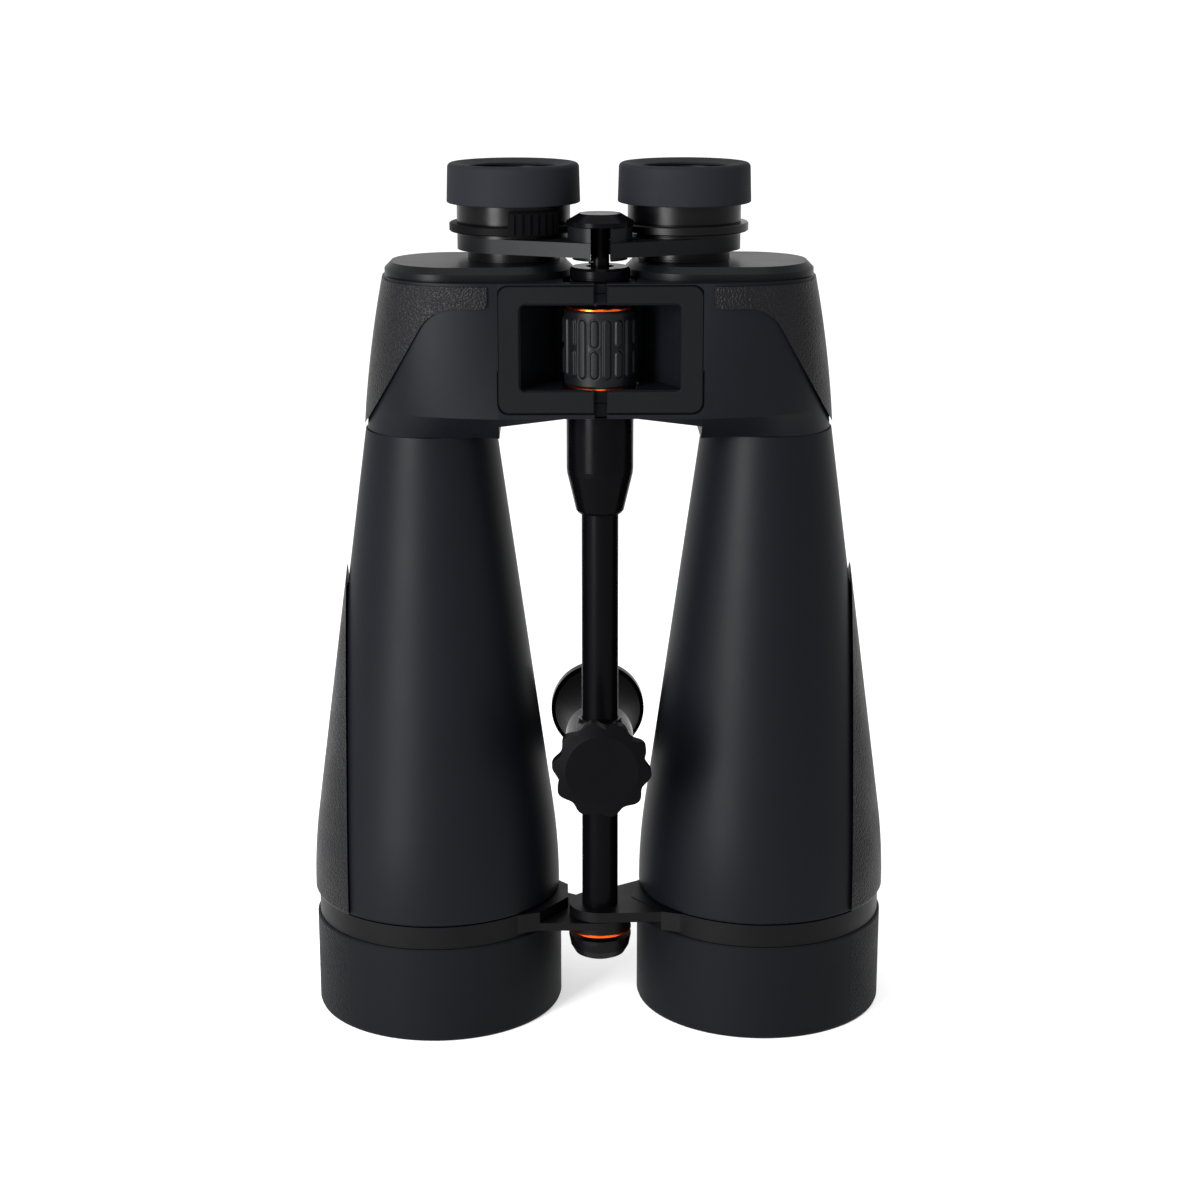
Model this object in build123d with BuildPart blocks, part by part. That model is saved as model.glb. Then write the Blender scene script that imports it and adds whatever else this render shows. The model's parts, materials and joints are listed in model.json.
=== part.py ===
from build123d import *
import math
import os

# Astronomy binoculars, 80 mm class, standing on their objective hoods with the eyepieces up.
# Millimetres, +Z up, -Y is the side a user would call the top of the binoculars.
# The hinge axis is vertical at X 0. Each half is made by functions of side: +1 is the
# user's left half on +X, -1 the user's right half on -X, which carries the diopter.

# ---- driving dimensions ----
HINGE_Y = -14.4          # the hinge axis, set so that the whole part is centred on the origin
BARREL_X = 63.4          # objective axis, sideways from the hinge
BARREL_Y = HINGE_Y + 21.5
EYE_X = 31.6             # eyepiece axis, for an eye spacing of about 64 mm
EYE_Y = HINGE_Y + 22.0

HOOD_R = 48.25           # lens hood
HOOD_TOP = 37.7
HOOD_WALL = 2.4
HOOD_THREAD = 24.0       # lower end of the thread that takes the tube's spigot
BAND_R = 47.3            # clamp band between the hood and the tube
BAND_Z = (37.9, 46.6)
TUBE_R = 47.5            # objective tube at its foot
TUBE_BOTTOM = 46.8
TUBE_TOP = 230.6
TUBE_TOP_R = 24.6
TUBE_KNEE_Z = 64.3       # where the straight foot and the long cone would meet
TUBE_KNEE_R = 228.0      # radius of the blend at that knee
TUBE_WALL = 2.2
SPIGOT_R = 45.2          # the tube's foot inside the band and the hood
SPIGOT_BOTTOM = 26.0
NECK_R = 23.4            # the tube's top inside the prism housing
NECK_TOP = 238.0
LENS_R = 41.5            # objective glass, 80 mm clear
LENS_CLEAR_R = 39.5      # clear radius of its seat
PAD_CHORD = 33.2         # the textured pad starts this far outside the barrel axis
PAD_RISE = 1.2
PAD_TOP = 190.0          # the pad has run out to nothing below this height

HOUSING_BOTTOM = 230.8
HOUSING_SHOULDER = 240.0
HOUSING_WAIST = 262.0
HOUSING_TOP = 289.0
HINGE_FLOOR = 240.1      # underside of the housing at the hinge
CHIN = ((13.4, 240.1), (37.0, 236.4))  # the underside falls away sideways from the hinge
FRONT_Y = -16.0          # front face, from the hinge axis
REAR_WALL = 3.0          # thickness of the wall behind the focus wheel
REAR_WALL_X = (4.6, 14.5)
REAR_WALL_Y = 19.0       # its middle, from the hinge axis
ARMOUR_SCALE = 1.027     # the rubber skin is the housing's outline grown by about 1 mm
ARMOUR_EDGE = ((40.8, 280.0), (61.0, 280.0), (95.0, 220.5))  # its lower edge, seen from the front
CAVITY_SCALE = 0.91
CAVITY_TOP = 286.4
COVER_Z = (289.05, 293.9)
COVER_BEVEL = 2.4
COVER_SIZE = (69.4, 54.0, 25.0)  # length, depth and corner radius
COVER_MIDDLE = (44.5, 17.0)      # sideways and backwards from the hinge axis
ROOF_OPENING = (57.0, 46.0, 20.0)

PLATE_X = (2.3, 37.5)    # hinge face plate, a C round the finger window
PLATE_Z = (241.6, 288.6)
PLATE_DEPTH = 1.6
PLATE_GAP = 0.4
WINDOW_X = 28.9
WINDOW_Z = (250.3, 281.2)

KNUCKLE_R = 11.0
AXLE_R = 5.0
AXLE_BOTTOM = 237.2
RUN = 0.1                # running clearance on a radius
LOW_KNUCKLE = {1: (240.1, 244.9), -1: (245.2, 249.4)}
HIGH_KNUCKLE = {1: (285.1, 288.4), -1: (280.9, 284.8)}
WHEEL_Z = (249.6, 279.2)
WHEEL_POCKET = (249.45, 14.3)  # floor and radius of the recess below the wheel
WHEEL_R = 13.15
WHEEL_CORE_R = 11.2
TRIM_R = 12.1            # bright rings of the wheel and of the end nut
TRIM_HEIGHT = 0.9
RIBS = 18
RIB_RISE = 0.65
RIB_LENGTH = 21.6
RIB_MIDDLE = 264.8       # height of the ribs' middle
RIB_WIDTH = 3.1
SPINDLE_R = 1.75
PIN_R = 1.0              # cross pin that joins the spindle to the wheel's thread

ROD_R = 6.9
ROD_Z = (29.0, 237.0)
COLLAR_Z = (202.2, 218.0, 239.8)
COLLAR_R = (8.9, 12.4)   # lower and upper radius
PRESS = 0.03             # gap of a pressed or shrunk joint, kept open so that the pieces stay apart
JOINT = 0.05             # gap of a screwed or cemented joint
LOBE_R = 11.9
LOWER_ARM_Z = {1: (42.45, 46.4), -1: (39.1, 42.15)}
PINCH_Z = (39.1, 46.6)   # pinch block of the clamp band
NUT_Z = (25.5, 35.9)
TRIM_Z = (35.95, 37.0)   # bright ring on the nut
NUT_R = 12.05
NUT_FACETS = 12

ARM_Z = (297.6, 302.9)   # focusing bridge
EYE_RING_R = 20.9
HUB_TOP = 308.0
HUB_R = 11.75
EYE_R = 8.4              # eye of each arm inside the hub
CAP_Z = (308.35, 309.9, 312.6)
CAP_R = (12.2, 7.6)      # rim and flat top
HUB_FOOT = (296.1, 10.0)  # lower end and radius of the hub below the arms
STEM_R = 3.4
STEM_SLOT = 3.6          # half width of the slot that shows the stem
STEM_Z = (284.0, 308.3)
HEAD_Z = (288.5, 293.5)  # round head of the hinge axle
HEAD_R = 11.0
SOCKET_Z = 282.0         # bottom of the wide bore that takes the stem
STEM_SCREW_R = 0.75
SCREW_PLANE = Plane(
    origin=(-2.98, HINGE_Y - 1.72, 295.2), x_dir=(0, 0, 1), z_dir=(-0.866, -0.5, 0)
)
BARREL_TUBE_R = 17.0
OCULAR_BORE = 15.0
SLEEVE_R = 20.0
GUIDE_R = 21.0
BARREL_TOP = 322.1
CUP_Z = (314.6, 329.0)
CUP_MOUTH_R = 16.0
CUP_R = 24.7
CUP_WALL_R = 22.5        # where the rubber meets the rigid sleeve
DIOPTER_Z = (304.2, 307.4)
DIOPTER_R = 23.8
TAB_ANGLES = (-4.0, 43.0)  # finger tab of the diopter ring, from the front
TAB_RIBS = 7
TAB_HEIGHT = 8.6         # below the eyecup at its lowest

PRISM_HALF = 18.7        # half the long face, and the height of the prism
PRISM_WIDTH = 19.0
PRISM_Y = BARREL_Y + 7.9
UPPER_PRISM_X = 55.5
LOWER_PRISM_X = 39.7
SHELF_Z = (259.0, 262.0)
LIGHT_HOLE_R = 8.6

BLOCK_Z = 110.0          # middle of the tripod adapter on the rod
BLOCK_R = 13.05
FOOT_Z = 108.0           # axis of the trumpet foot and its thread
FOOT_R = 18.7
FOOT_Y = 60.0
KNOB_Z = 113.6           # axis of the clamp screw and its knob
KNOB_R = 17.3            # mean radius of the lobed knob
KNOB_WAVE = 1.1
KNOB_LOBES = 10
KNOB_TURN = 0.1          # radians from the side to the first lobe
KNOB_FRONT = -40.5       # from the hinge axis
KNOB_FACE_R = 13.4       # flat face inside the sloping rim
SCREW_R = 3.0
BUSH_R = 8.4
BUSH_Z = (96.0, 122.0)
TRIPOD_HOLE_R = 3.175    # 1/4-20 thread

os.makedirs("parts", exist_ok=True)


def save(body, name):
    """Label one finished piece and write its STEP file."""
    body.part.label = name
    export_step(body.part, f"parts/{name}.step")


def side_name(side):
    return "left" if side > 0 else "right"


def turned(points, x, y):
    """A piece turned about a vertical axis at x, y from its (radius, height) outline."""
    with BuildPart() as body:
        with BuildSketch(Plane(origin=(x, y, 0), x_dir=(1, 0, 0), z_dir=(0, -1, 0))):
            with BuildLine():
                Polyline(*points, close=True)
            make_face()
        revolve(axis=Axis((x, y, 0), (0, 0, 1)))
    return body


def ring(x, y, inner, outer, z0, z1):
    """A plain round ring with a small bevel on its outer edges."""
    bevel = min(0.4, (z1 - z0) / 4)
    return turned(
        [
            (inner, z0),
            (outer - bevel, z0),
            (outer, z0 + bevel),
            (outer, z1 - bevel),
            (outer - bevel, z1),
            (inner, z1),
        ],
        x,
        y,
    )


# ---- objective barrels ----


def cone_radius(z):
    """Outside radius of the tube's straight cone at height z."""
    slope = (TUBE_R - TUBE_TOP_R) / (TUBE_TOP - TUBE_KNEE_Z)
    return TUBE_TOP_R + slope * (TUBE_TOP - z)


def objective_tube(side):
    """A long cone with a rounded foot, a spigot below it and a neck above it."""
    x = side * BARREL_X
    bore = SPIGOT_R - 2.0
    bore_top = cone_radius(NECK_TOP) - TUBE_WALL
    slope = (TUBE_R - TUBE_TOP_R) / (TUBE_TOP - TUBE_KNEE_Z)
    bore_knee = NECK_TOP - (bore - bore_top) / slope
    with BuildPart() as body:
        with BuildSketch(Plane(origin=(x, BARREL_Y, 0), x_dir=(1, 0, 0), z_dir=(0, -1, 0))) as outline:
            with BuildLine():
                Polyline(
                    (bore, SPIGOT_BOTTOM),
                    (SPIGOT_R, SPIGOT_BOTTOM),
                    (SPIGOT_R, TUBE_BOTTOM),
                    (TUBE_R, TUBE_BOTTOM),
                    (TUBE_R, TUBE_KNEE_Z),
                    (TUBE_TOP_R, TUBE_TOP),
                    (NECK_R, TUBE_TOP),
                    (NECK_R, NECK_TOP),
                    (bore_top, NECK_TOP),
                    (bore, bore_knee),
                    close=True,
                )
            make_face()
            knee = outline.vertices().sort_by_distance((TUBE_R, TUBE_KNEE_Z, 0))[0]
            fillet(knee, radius=TUBE_KNEE_R)
            lip = outline.vertices().sort_by_distance((TUBE_R, TUBE_BOTTOM, 0))[0]
            fillet(lip, radius=1.0)
        revolve(axis=Axis((x, BARREL_Y, 0), (0, 0, 1)))
    return body


def tube_pad(side):
    """The raised rubber pad on the outside of a tube, cut off along one flat plane."""
    x = side * BARREL_X
    with BuildPart() as body:
        with BuildSketch(Plane(origin=(x, BARREL_Y, 0), x_dir=(1, 0, 0), z_dir=(0, -1, 0))) as outline:
            with BuildLine():
                Polyline(
                    (TUBE_R + JOINT, TUBE_BOTTOM + 0.2),
                    (TUBE_R + JOINT, TUBE_KNEE_Z),
                    (cone_radius(PAD_TOP) + JOINT, PAD_TOP),
                    (cone_radius(PAD_TOP) + PAD_RISE, PAD_TOP),
                    (TUBE_R + PAD_RISE, TUBE_KNEE_Z),
                    (TUBE_R + PAD_RISE, TUBE_BOTTOM + 1.6),
                    (TUBE_R + 0.4, TUBE_BOTTOM + 0.2),
                    close=True,
                )
            make_face()
            for radius in (TUBE_R + JOINT, TUBE_R + PAD_RISE):
                knee = outline.vertices().sort_by_distance((radius, TUBE_KNEE_Z, 0))[0]
                fillet(knee, radius=TUBE_KNEE_R)
        revolve(axis=Axis((x, BARREL_Y, 0), (0, 0, 1)))
        with Locations((x + side * (PAD_CHORD + 30), BARREL_Y, 120)):
            Box(60, 120, 240, mode=Mode.INTERSECT)
    return body


def hood(side):
    """The lens hood that the binoculars stand on, threaded over the tube's spigot."""
    return turned(
        [
            (HOOD_R - HOOD_WALL, 0),
            (HOOD_R - 1.4, 0),
            (HOOD_R - 0.4, 0.4),
            (HOOD_R, 1.4),
            (HOOD_R, HOOD_TOP - 0.6),
            (HOOD_R - 0.6, HOOD_TOP),
            (SPIGOT_R + JOINT, HOOD_TOP),
            (SPIGOT_R + JOINT, HOOD_THREAD),
            (HOOD_R - HOOD_WALL, HOOD_THREAD),
        ],
        side * BARREL_X,
        BARREL_Y,
    )


def lens_sag(bulge, reach, at):
    """How far a spherical lens face has curved away from its vertex, at a radius from the axis."""
    sphere = (reach**2 + bulge**2) / (2 * abs(bulge))
    return math.copysign(sphere - math.sqrt(sphere**2 - at**2), bulge)


def objective_cell(side):
    """The threaded cell with the seat of the objective lens."""
    outer = SPIGOT_R - 2.05
    return turned(
        [
            (LENS_CLEAR_R, 27),
            (outer, 27),
            (outer, 44),
            (LENS_R + 0.1, 44),
            (LENS_R + 0.1, 30.2),
            (LENS_CLEAR_R, 30.2),
        ],
        side * BARREL_X,
        BARREL_Y,
    )


def objective_doublet(side):
    """The two cemented glasses of the objective, 80 mm clear."""
    x = side * BARREL_X
    shapes = (((28.3, 30.6), (37.6, 33.4)), ((37.7, 33.5), (39.4, 38.2)))
    with BuildPart() as body:
        for (low_mid, low_edge), (high_mid, high_edge) in shapes:
            with BuildSketch(Plane(origin=(x, BARREL_Y, 0), x_dir=(1, 0, 0), z_dir=(0, -1, 0))):
                with BuildLine():
                    low_middle = low_mid + lens_sag(low_edge - low_mid, LENS_R, LENS_R / 2)
                    high_middle = high_mid + lens_sag(high_edge - high_mid, LENS_R, LENS_R / 2)
                    ThreePointArc((0, low_mid), (LENS_R / 2, low_middle), (LENS_R, low_edge))
                    Line((LENS_R, low_edge), (LENS_R, high_edge))
                    ThreePointArc((LENS_R, high_edge), (LENS_R / 2, high_middle), (0, high_mid))
                    Line((0, high_mid), (0, low_mid))
                make_face()
            revolve(axis=Axis((x, BARREL_Y, 0), (0, 0, 1)))
    return body


def clamp_band(side):
    """The band round the tube's foot with its pinch block and its arm to the centre rod."""
    x = side * BARREL_X
    z0, z1 = LOWER_ARM_Z[side]
    bore = ROD_R + (JOINT if side > 0 else RUN)
    with BuildPart() as body:
        with BuildSketch(Plane.XY.offset(BAND_Z[0])):
            with Locations((x, BARREL_Y)):
                Circle(BAND_R)
        extrude(amount=BAND_Z[1] - BAND_Z[0])
        with BuildSketch(Plane.XY.offset(z0)):
            with Locations((0, HINGE_Y)):
                Circle(LOBE_R)
            with BuildLine():
                Polyline(
                    (0, HINGE_Y - LOBE_R),
                    (side * 23.4, HINGE_Y - 11.0),
                    (side * 40, BARREL_Y),
                    (side * 16.3, HINGE_Y + 22.8),
                    (0, HINGE_Y + LOBE_R),
                    close=True,
                )
            make_face()
        extrude(amount=z1 - z0)
        with BuildSketch(Plane.XY.offset(PINCH_Z[0])):
            with BuildLine():
                Polyline(
                    (side * 40, HINGE_Y - 15.0),
                    (side * 30.4, HINGE_Y - 13.6),
                    (side * 23.4, HINGE_Y - 11.0),
                    (side * 12.4, HINGE_Y + 4.8),
                    (side * 12.4, HINGE_Y + 18.1),
                    (side * 16.2, HINGE_Y + 22.8),
                    (side * 40, BARREL_Y + 10),
                    close=True,
                )
            make_face()
        extrude(amount=PINCH_Z[1] - PINCH_Z[0])
        if side < 0:
            # washer boss between the arm and the end nut's bright ring
            with BuildSketch(Plane.XY.offset(TRIM_Z[1] + 0.1)):
                with Locations((0, HINGE_Y)):
                    Circle(LOBE_R)
            extrude(amount=z0 - TRIM_Z[1] - 0.1)
        with BuildSketch(Plane.XY.offset(TRIM_Z[1])):
            with Locations((x, BARREL_Y)):
                Circle(SPIGOT_R + JOINT)
            with Locations((0, HINGE_Y)):
                Circle(bore)
        extrude(amount=BAND_Z[1] - TRIM_Z[1] + 1, mode=Mode.SUBTRACT)
    return body


# ---- prism housings ----

# Outline points of the housing at four heights, as (sideways, forward) from the hinge
# axis, from the front beside the hinge plate round the outside to the back.
SECTIONS = {
    HOUSING_BOTTOM: [(37, -5), (53, -2.5), (74, -1.0), (87.3, 21), (76, 43), (60, 47), (40, 44), (23, 38)],
    HOUSING_SHOULDER: [(37, -16), (56, -12.5), (76, -2.5), (86.6, 21), (79, 42), (62, 51), (40, 53), (22, 47)],
    HOUSING_WAIST: [(37, -16), (58, -13.5), (75, -5), (84.0, 20), (78, 42), (62, 53), (40, 56), (22, 50)],
    HOUSING_TOP: [(37, -16), (56, -14.5), (71, -7), (79.4, 20), (75, 42), (61, 54), (40, 57), (22, 51)],
}
OUTLINE_CENTRE = (46.0, 20.0)


def housing_outline(side, z, scale=1.0):
    """Sketch the housing's outline at height z, grown or shrunk about its middle."""
    cx, cy = OUTLINE_CENTRE
    curve = []
    for px, py in SECTIONS[z]:
        curve.append((side * (cx + (px - cx) * scale), HINGE_Y + cy + (py - cy) * scale))
    first, last = curve[0], curve[-1]
    wall = side * (13.5 if scale >= 1 else 17.0)
    front = HINGE_Y - 11.4 if scale >= 1 else first[1]
    tip = side * (PLATE_X[0] if scale >= 1 else 30.0)
    with BuildSketch(Plane.XY.offset(z)) as outline:
        with BuildLine():
            Spline(*curve)
            Line(last, (wall, HINGE_Y + 36))
            Line((wall, HINGE_Y + 36), (wall, HINGE_Y + 13))
            if scale >= 1:
                Line((wall, HINGE_Y + 13), (wall, front))
                Line((wall, front), (tip, front))
                Line((tip, front), (tip, first[1]))
                Line((tip, first[1]), first)
            else:
                Line((wall, HINGE_Y + 13), (tip, HINGE_Y + 2))
                Line((tip, HINGE_Y + 2), first)
        make_face()
    return outline.sketch


def housing_solid(side, scale=1.0):
    """The closed outer form of a housing: a ruled chin below, a smooth body above it."""
    heights = tuple(SECTIONS)
    with BuildPart() as body:
        loft([housing_outline(side, z, scale) for z in heights[:2]])
        loft([housing_outline(side, z, scale) for z in heights[1:]])
    return body


def cavity(side, scale):
    """The space for the prisms inside a housing, below its top face."""
    with BuildPart() as body:
        loft([housing_outline(side, z, scale) for z in tuple(SECTIONS)[1:]])
        with Locations((side * 45, HINGE_Y + 20, CAVITY_TOP - 50)):
            Box(140, 140, 100, mode=Mode.INTERSECT)
    return body


def plate_outline(side, gap=0.0):
    """Sketch the C-shaped hinge face plate on the housing's front, shrunk all round by gap."""
    middle = (PLATE_Z[0] + PLATE_Z[1]) / 2
    window_middle = (WINDOW_Z[0] + WINDOW_Z[1]) / 2
    front = Plane(origin=(0, HINGE_Y + FRONT_Y, 0), x_dir=(1, 0, 0), z_dir=(0, -1, 0))
    with BuildSketch(front) as outline:
        with Locations((0, middle)):
            RectangleRounded(2 * (PLATE_X[1] - gap), PLATE_Z[1] - PLATE_Z[0] - 2 * gap, 4.2)
        with Locations((0, window_middle)):
            RectangleRounded(
                2 * (WINDOW_X + gap), WINDOW_Z[1] - WINDOW_Z[0] + 2 * gap, 2.6, mode=Mode.SUBTRACT
            )
        with Locations((side * (PLATE_X[0] + 20), middle)):
            Rectangle(40, 80, mode=Mode.INTERSECT)
    return outline.sketch


def prism_housing(side):
    """The die-cast housing with its hinge knuckles, finger bay and plate recess."""
    outer = housing_solid(side)
    inner = cavity(side, CAVITY_SCALE)
    x = side * BARREL_X
    bore = AXLE_R + (PRESS if side > 0 else RUN)
    with BuildPart() as body:
        add(outer.part)
        # the underside rises towards the hinge
        with BuildSketch(Plane(origin=(0, HINGE_Y + 70, 0), x_dir=(1, 0, 0), z_dir=(0, -1, 0))):
            with BuildLine():
                Polyline(
                    (-side, HOUSING_BOTTOM - 10),
                    (-side, HINGE_FLOOR),
                    (side * CHIN[0][0], CHIN[0][1]),
                    (side * CHIN[1][0], CHIN[1][1]),
                    (side * CHIN[1][0], HOUSING_BOTTOM - 10),
                    close=True,
                )
            make_face()
        extrude(amount=100, mode=Mode.SUBTRACT)
        # rear wall of the hinge bay
        with BuildSketch(Plane.XY.offset(HINGE_FLOOR)):
            with Locations((side * (REAR_WALL_X[0] + REAR_WALL_X[1]) / 2, HINGE_Y + REAR_WALL_Y)):
                Rectangle(REAR_WALL_X[1] - REAR_WALL_X[0], REAR_WALL)
        extrude(amount=HOUSING_TOP - HINGE_FLOOR)
        add(inner.part, mode=Mode.SUBTRACT)
        with BuildSketch(Plane.XY.offset(CAVITY_TOP)):
            with Locations((side * COVER_MIDDLE[0], HINGE_Y + COVER_MIDDLE[1])):
                RectangleRounded(*ROOF_OPENING)
        extrude(amount=6, mode=Mode.SUBTRACT)
        # throat for the light between the tube and the cavity
        with BuildSketch(Plane.XY.offset(HOUSING_BOTTOM - 1)):
            with Locations((x, BARREL_Y)):
                Circle(NECK_R + JOINT)
        extrude(amount=NECK_TOP + 0.3 - HOUSING_BOTTOM + 1, mode=Mode.SUBTRACT)
        with BuildSketch(Plane.XY.offset(NECK_TOP)):
            with Locations((x, BARREL_Y)):
                Circle(NECK_R - 3.5)
        extrude(amount=6, mode=Mode.SUBTRACT)
        with BuildSketch(Plane.XY.offset(HOUSING_TOP - 8)):
            with Locations((side * EYE_X, EYE_Y)):
                Circle(BARREL_TUBE_R + 0.4)
        extrude(amount=10, mode=Mode.SUBTRACT)
        # finger bay round the focus wheel
        with BuildSketch(Plane.XY.offset(WINDOW_Z[0])):
            with BuildLine():
                Polyline(
                    (0, HINGE_Y - 30),
                    (side * WINDOW_X, HINGE_Y - 30),
                    (side * WINDOW_X, HINGE_Y - 9),
                    (side * 23, HINGE_Y + 2),
                    (side * 15.5, HINGE_Y + 12),
                    (0, HINGE_Y + 17.4),
                    close=True,
                )
            make_face()
        extrude(amount=WINDOW_Z[1] - WINDOW_Z[0], mode=Mode.SUBTRACT)
        with BuildSketch(Plane.XY.offset(WHEEL_POCKET[0])):
            with Locations((0, HINGE_Y)):
                Circle(WHEEL_POCKET[1])
        extrude(amount=WINDOW_Z[0] - WHEEL_POCKET[0], mode=Mode.SUBTRACT)
        # hinge knuckles
        for z0, z1 in (LOW_KNUCKLE[side], HIGH_KNUCKLE[side]):
            with BuildSketch(Plane.XY.offset(z0)):
                with Locations((0, HINGE_Y)):
                    Circle(KNUCKLE_R)
                with Locations((side * 7.5, HINGE_Y)):
                    Rectangle(15, 17)
            extrude(amount=z1 - z0)
        with BuildSketch(Plane.XY.offset(HINGE_FLOOR)):
            with Locations((0, HINGE_Y)):
                Circle(bore)
        extrude(amount=HOUSING_TOP - HINGE_FLOOR + 2, mode=Mode.SUBTRACT)
        extrude(plate_outline(side), amount=-PLATE_DEPTH, mode=Mode.SUBTRACT)
    return body


def hinge_plate(side):
    """The flush face plate on the front of the hinge, with a fine bevel round its face."""
    with BuildPart() as body:
        extrude(plate_outline(side, PLATE_GAP), amount=-(PLATE_DEPTH - 0.05))
        chamfer(body.faces().sort_by(Axis.Y)[0].edges(), length=0.45)
    return body


def shoulder_armour(side):
    """The pebbled rubber skin over the outer shoulder, ending in an S-shaped edge."""
    housing = housing_solid(side)
    skin = housing_solid(side, ARMOUR_SCALE)
    with BuildPart() as body:
        add(skin.part)
        with BuildSketch(Plane(origin=(0, HINGE_Y - 60, 0), x_dir=(1, 0, 0), z_dir=(0, -1, 0))):
            with BuildLine():
                FilletPolyline(
                    (side * ARMOUR_EDGE[0][0], HOUSING_TOP + 10),
                    (side * ARMOUR_EDGE[0][0], ARMOUR_EDGE[0][1]),
                    (side * ARMOUR_EDGE[1][0], ARMOUR_EDGE[1][1]),
                    (side * ARMOUR_EDGE[2][0], ARMOUR_EDGE[2][1]),
                    radius=[2.2, 15.0],
                )
                Polyline(
                    (side * ARMOUR_EDGE[2][0], ARMOUR_EDGE[2][1]),
                    (side * ARMOUR_EDGE[2][0], HOUSING_TOP + 10),
                    (side * ARMOUR_EDGE[0][0], HOUSING_TOP + 10),
                )
            make_face()
        extrude(amount=-160, mode=Mode.INTERSECT)
        add(housing.part, mode=Mode.SUBTRACT)
        with Locations((side * 60, HINGE_Y + 20, HOUSING_TOP + 19)):
            Box(100, 120, 40, mode=Mode.SUBTRACT)
    return body


def top_cover(side):
    """The oval cover with a wide bevel that closes a housing round its eyepiece."""
    with BuildPart() as body:
        with BuildSketch(Plane.XY.offset(COVER_Z[0])):
            with Locations((side * COVER_MIDDLE[0], HINGE_Y + COVER_MIDDLE[1])):
                RectangleRounded(*COVER_SIZE)
        extrude(amount=COVER_Z[1] - COVER_Z[0])
        chamfer(body.faces().sort_by(Axis.Z)[-1].edges(), length=COVER_BEVEL)
        with BuildSketch(Plane.XY.offset(HOUSING_TOP - 2)):
            with Locations((side * EYE_X, EYE_Y)):
                Circle(BARREL_TUBE_R + RUN)
        extrude(amount=10, mode=Mode.SUBTRACT)
    return body


def prism_shelf(side):
    """The plate that carries both prisms, with a hole for each pass of the light."""
    space = cavity(side, CAVITY_SCALE - 0.012)
    with BuildPart() as body:
        add(space.part)
        with Locations((side * 45, HINGE_Y + 20, (SHELF_Z[0] + SHELF_Z[1]) / 2)):
            Box(120, 120, SHELF_Z[1] - SHELF_Z[0], mode=Mode.INTERSECT)
        with BuildSketch(Plane.XY.offset(SHELF_Z[0] - 1)):
            with Locations(
                (side * BARREL_X, BARREL_Y),
                (side * (BARREL_X + EYE_X) / 2, BARREL_Y + 15.8),
                (side * EYE_X, EYE_Y),
            ):
                Circle(LIGHT_HOLE_R)
        extrude(amount=SHELF_Z[1] - SHELF_Z[0] + 2, mode=Mode.SUBTRACT)
    return body


def prism(side, x, y, lean, z, up):
    """One right-angle prism: long face on the shelf at z, roof pointing up or down."""
    long_way = (-side * lean * math.sqrt(0.5), math.sqrt(0.5), 0)
    width_way = (long_way[1], -long_way[0], 0)
    with BuildPart() as body:
        with BuildSketch(Plane(origin=(side * x, y, z), x_dir=long_way, z_dir=width_way)):
            with BuildLine():
                Polyline((-PRISM_HALF, 0), (PRISM_HALF, 0), (0, up * PRISM_HALF), close=True)
            make_face()
        extrude(amount=PRISM_WIDTH / 2, both=True)
    return body


# ---- eyepieces ----


def eyepiece_barrel(side):
    """The eyepiece tube that slides through the cover and carries the twist-up cup."""
    return turned(
        [
            (OCULAR_BORE, 284.0),
            (BARREL_TUBE_R, 284.0),
            (BARREL_TUBE_R, ARM_Z[1]),
            (EYE_RING_R, ARM_Z[1]),
            (EYE_RING_R, DIOPTER_Z[1] + 0.3),
            (SLEEVE_R, DIOPTER_Z[1] + 0.3),
            (SLEEVE_R, BARREL_TOP),
            (OCULAR_BORE, BARREL_TOP),
        ],
        side * EYE_X,
        EYE_Y,
    )


def ocular_cell(side):
    """The cell that holds the eyepiece glasses inside the barrel."""
    outer = OCULAR_BORE - RUN
    return turned(
        [
            (12.2, 286.5),
            (outer, 286.5),
            (outer, 318.5),
            (11.6, 318.5),
            (11.6, 317.0),
            (12.6, 316.0),
            (12.6, 289.0),
            (12.2, 289.0),
        ],
        side * EYE_X,
        EYE_Y,
    )


def ocular_lenses(side):
    """Field lens group and eye lens of one eyepiece."""
    x = side * EYE_X
    with BuildPart() as body:
        for z, height, bulge in ((289.2, 5.0, 2.0), (305.5, 6.0, 2.2)):
            with BuildSketch(Plane(origin=(x, EYE_Y, 0), x_dir=(1, 0, 0), z_dir=(0, -1, 0))):
                with BuildLine():
                    Polyline((0, z), (12.5, z), (12.5, z + height))
                    middle = z + height + bulge - lens_sag(bulge, 12.5, 6.0)
                    ThreePointArc((12.5, z + height), (6.0, middle), (0, z + height + bulge))
                    Line((0, z + height + bulge), (0, z))
                make_face()
            revolve(axis=Axis((x, EYE_Y, 0), (0, 0, 1)))
    return body


def plain_ring(side):
    """The fixed trim ring that matches the diopter ring on the other eyepiece."""
    return ring(side * EYE_X, EYE_Y, EYE_RING_R + RUN, DIOPTER_R, DIOPTER_Z[0], DIOPTER_Z[1])


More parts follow.
